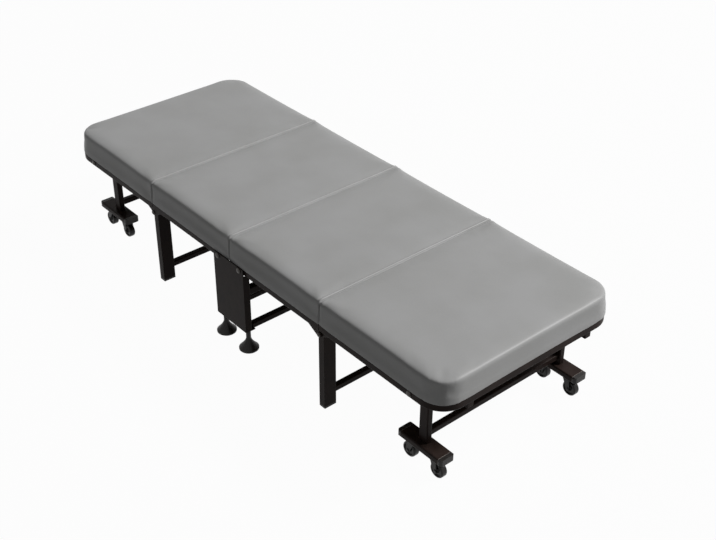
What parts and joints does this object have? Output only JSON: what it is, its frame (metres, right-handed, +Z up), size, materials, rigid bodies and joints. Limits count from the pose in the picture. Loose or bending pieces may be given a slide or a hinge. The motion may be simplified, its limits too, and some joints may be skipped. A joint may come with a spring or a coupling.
{
  "type": "folding bed",
  "caption": "Padded folding bed on a steel tube frame with a centre stand; it folds into an M as the end legs roll inward on casters.",
  "frame": {"origin": "on the floor under the middle of the bed, where the centre seam crosses the long axis", "axes": "+X along the bed, +Y across it, +Z up from the floor"},
  "size_m": [1.9, 0.745, 0.397],
  "materials": {
    "painted_steel": "semi-gloss black powder coat on steel tube and plate",
    "black_zinc_fasteners": "black zinc-plated steel bolts, nuts and spacers",
    "black_plastic": "moulded black polypropylene and nylon",
    "plywood": "sanded raw plywood",
    "pad_cover": "matt mid-grey upholstery cover with piped seams over foam"
  },
  "bodies": {
    "center_stand": {"center_plates": "painted_steel", "center_cross_tubes": "painted_steel", "center_pivot_bolts": "black_zinc_fasteners", "center_pivot_spacers": "black_zinc_fasteners"},
    "section_b": {"side_rails_b": "painted_steel", "cross_tubes_b": "painted_steel", "base_board_b": "plywood", "pad_b": "pad_cover", "hinge_bolts_b": "black_zinc_fasteners"},
    "section_a": {"frame_bend_a": "painted_steel", "cross_tubes_a": "painted_steel", "base_board_a": "plywood", "pad_a": "pad_cover", "pivot_bolts_a": "black_zinc_fasteners"},
    "mid_leg_left": {"leg_posts_left": "painted_steel", "leg_crossbar_left": "painted_steel", "leg_caps_left": "black_plastic"},
    "end_leg_left": {"end_uprights_left": "painted_steel", "end_crossbar_left": "painted_steel", "end_axle_left": "painted_steel", "foot_bars_left": "painted_steel", "foot_bar_caps_left": "black_plastic"},
    "foot_left_near": {"levelling_foot_left_near": "black_plastic"},
    "swivel_left_near_outer": {"caster_fork_left_near_outer": "black_plastic"},
    "wheel_left_near_outer": {"caster_wheel_left_near_outer": "black_plastic"},
    "swivel_left_near_inner": {"caster_fork_left_near_inner": "black_plastic"},
    "wheel_left_near_inner": {"caster_wheel_left_near_inner": "black_plastic"},
    "foot_left_far": {"levelling_foot_left_far": "black_plastic"},
    "swivel_left_far_outer": {"caster_fork_left_far_outer": "black_plastic"},
    "wheel_left_far_outer": {"caster_wheel_left_far_outer": "black_plastic"},
    "swivel_left_far_inner": {"caster_fork_left_far_inner": "black_plastic"},
    "wheel_left_far_inner": {"caster_wheel_left_far_inner": "black_plastic"},
    "section_c": {"side_rails_c": "painted_steel", "cross_tubes_c": "painted_steel", "base_board_c": "plywood", "pad_c": "pad_cover", "hinge_bolts_c": "black_zinc_fasteners"},
    "section_d": {"frame_bend_d": "painted_steel", "cross_tubes_d": "painted_steel", "base_board_d": "plywood", "pad_d": "pad_cover", "pivot_bolts_d": "black_zinc_fasteners"},
    "mid_leg_right": {"leg_posts_right": "painted_steel", "leg_crossbar_right": "painted_steel", "leg_caps_right": "black_plastic"},
    "end_leg_right": {"end_uprights_right": "painted_steel", "end_crossbar_right": "painted_steel", "end_axle_right": "painted_steel", "foot_bars_right": "painted_steel", "foot_bar_caps_right": "black_plastic"},
    "foot_right_near": {"levelling_foot_right_near": "black_plastic"},
    "swivel_right_near_outer": {"caster_fork_right_near_outer": "black_plastic"},
    "wheel_right_near_outer": {"caster_wheel_right_near_outer": "black_plastic"},
    "swivel_right_near_inner": {"caster_fork_right_near_inner": "black_plastic"},
    "wheel_right_near_inner": {"caster_wheel_right_near_inner": "black_plastic"},
    "foot_right_far": {"levelling_foot_right_far": "black_plastic"},
    "swivel_right_far_outer": {"caster_fork_right_far_outer": "black_plastic"},
    "wheel_right_far_outer": {"caster_wheel_right_far_outer": "black_plastic"},
    "swivel_right_far_inner": {"caster_fork_right_far_inner": "black_plastic"},
    "wheel_right_far_inner": {"caster_wheel_right_far_inner": "black_plastic"}
  },
  "joints": [
    {"name": "fold_left", "type": "hinge", "parent": "center_stand", "child": "section_b", "pos_m": [-0.056, 0, 0.3055], "axis": [0, 1, 0], "range_deg": [0, 77], "deforming": ["pad_b"]},
    {"name": "seam_left", "type": "hinge", "parent": "section_b", "child": "section_a", "pos_m": [-0.44, 0, 0.28], "axis": [0, 1, 0], "range_deg": [-154, 0]},
    {"name": "mid_leg_swing_left", "type": "hinge", "parent": "section_b", "child": "mid_leg_left", "pos_m": [-0.44, 0, 0.28], "axis": [0, 1, 0], "range_deg": [-77, 0]},
    {"name": "end_leg_swing_left", "type": "hinge", "parent": "section_a", "child": "end_leg_left", "pos_m": [-0.824, 0, 0.3055], "axis": [0, 1, 0], "range_deg": [0, 77]},
    {"name": "foot_turn_left_near", "type": "hinge", "parent": "center_stand", "child": "foot_left_near", "pos_m": [-0.0615, -0.34, 0.04], "axis": [0, 0, 1], "continuous": true},
    {"name": "swivel_turn_left_near_outer", "type": "hinge", "parent": "end_leg_left", "child": "swivel_left_near_outer", "pos_m": [-0.866, -0.278, 0.06], "axis": [0, 0, 1], "continuous": true},
    {"name": "wheel_roll_left_near_outer", "type": "hinge", "parent": "swivel_left_near_outer", "child": "wheel_left_near_outer", "pos_m": [-0.878, -0.278, 0.025], "axis": [0, 1, 0], "continuous": true},
    {"name": "swivel_turn_left_near_inner", "type": "hinge", "parent": "end_leg_left", "child": "swivel_left_near_inner", "pos_m": [-0.776, -0.278, 0.06], "axis": [0, 0, 1], "continuous": true},
    {"name": "wheel_roll_left_near_inner", "type": "hinge", "parent": "swivel_left_near_inner", "child": "wheel_left_near_inner", "pos_m": [-0.764, -0.278, 0.025], "axis": [0, 1, 0], "continuous": true},
    {"name": "foot_turn_left_far", "type": "hinge", "parent": "center_stand", "child": "foot_left_far", "pos_m": [-0.0615, 0.34, 0.04], "axis": [0, 0, 1], "continuous": true},
    {"name": "swivel_turn_left_far_outer", "type": "hinge", "parent": "end_leg_left", "child": "swivel_left_far_outer", "pos_m": [-0.866, 0.278, 0.06], "axis": [0, 0, 1], "continuous": true},
    {"name": "wheel_roll_left_far_outer", "type": "hinge", "parent": "swivel_left_far_outer", "child": "wheel_left_far_outer", "pos_m": [-0.878, 0.278, 0.025], "axis": [0, 1, 0], "continuous": true},
    {"name": "swivel_turn_left_far_inner", "type": "hinge", "parent": "end_leg_left", "child": "swivel_left_far_inner", "pos_m": [-0.776, 0.278, 0.06], "axis": [0, 0, 1], "continuous": true},
    {"name": "wheel_roll_left_far_inner", "type": "hinge", "parent": "swivel_left_far_inner", "child": "wheel_left_far_inner", "pos_m": [-0.764, 0.278, 0.025], "axis": [0, 1, 0], "continuous": true},
    {"name": "fold_right", "type": "hinge", "parent": "center_stand", "child": "section_c", "pos_m": [0.056, 0, 0.3055], "axis": [0, -1, 0], "range_deg": [0, 77], "deforming": ["pad_c"]},
    {"name": "seam_right", "type": "hinge", "parent": "section_c", "child": "section_d", "pos_m": [0.44, 0, 0.28], "axis": [0, -1, 0], "range_deg": [-154, 0]},
    {"name": "mid_leg_swing_right", "type": "hinge", "parent": "section_c", "child": "mid_leg_right", "pos_m": [0.44, 0, 0.28], "axis": [0, -1, 0], "range_deg": [-77, 0]},
    {"name": "end_leg_swing_right", "type": "hinge", "parent": "section_d", "child": "end_leg_right", "pos_m": [0.824, 0, 0.3055], "axis": [0, -1, 0], "range_deg": [0, 77]},
    {"name": "foot_turn_right_near", "type": "hinge", "parent": "center_stand", "child": "foot_right_near", "pos_m": [0.0615, -0.34, 0.04], "axis": [0, 0, 1], "continuous": true},
    {"name": "swivel_turn_right_near_outer", "type": "hinge", "parent": "end_leg_right", "child": "swivel_right_near_outer", "pos_m": [0.866, -0.278, 0.06], "axis": [0, 0, 1], "continuous": true},
    {"name": "wheel_roll_right_near_outer", "type": "hinge", "parent": "swivel_right_near_outer", "child": "wheel_right_near_outer", "pos_m": [0.878, -0.278, 0.025], "axis": [0, 1, 0], "continuous": true},
    {"name": "swivel_turn_right_near_inner", "type": "hinge", "parent": "end_leg_right", "child": "swivel_right_near_inner", "pos_m": [0.776, -0.278, 0.06], "axis": [0, 0, 1], "continuous": true},
    {"name": "wheel_roll_right_near_inner", "type": "hinge", "parent": "swivel_right_near_inner", "child": "wheel_right_near_inner", "pos_m": [0.764, -0.278, 0.025], "axis": [0, 1, 0], "continuous": true},
    {"name": "foot_turn_right_far", "type": "hinge", "parent": "center_stand", "child": "foot_right_far", "pos_m": [0.0615, 0.34, 0.04], "axis": [0, 0, 1], "continuous": true},
    {"name": "swivel_turn_right_far_outer", "type": "hinge", "parent": "end_leg_right", "child": "swivel_right_far_outer", "pos_m": [0.866, 0.278, 0.06], "axis": [0, 0, 1], "continuous": true},
    {"name": "wheel_roll_right_far_outer", "type": "hinge", "parent": "swivel_right_far_outer", "child": "wheel_right_far_outer", "pos_m": [0.878, 0.278, 0.025], "axis": [0, 1, 0], "continuous": true},
    {"name": "swivel_turn_right_far_inner", "type": "hinge", "parent": "end_leg_right", "child": "swivel_right_far_inner", "pos_m": [0.776, 0.278, 0.06], "axis": [0, 0, 1], "continuous": true},
    {"name": "wheel_roll_right_far_inner", "type": "hinge", "parent": "swivel_right_far_inner", "child": "wheel_right_far_inner", "pos_m": [0.764, 0.278, 0.025], "axis": [0, 1, 0], "continuous": true}
  ],
  "couplings": [
    {"joint": "seam_left", "follows": "fold_left", "ratio": -2},
    {"joint": "mid_leg_swing_left", "follows": "fold_left", "ratio": -1},
    {"joint": "end_leg_swing_left", "follows": "fold_left", "ratio": 1},
    {"joint": "seam_right", "follows": "fold_right", "ratio": -2},
    {"joint": "mid_leg_swing_right", "follows": "fold_right", "ratio": -1},
    {"joint": "end_leg_swing_right", "follows": "fold_right", "ratio": 1}
  ]
}
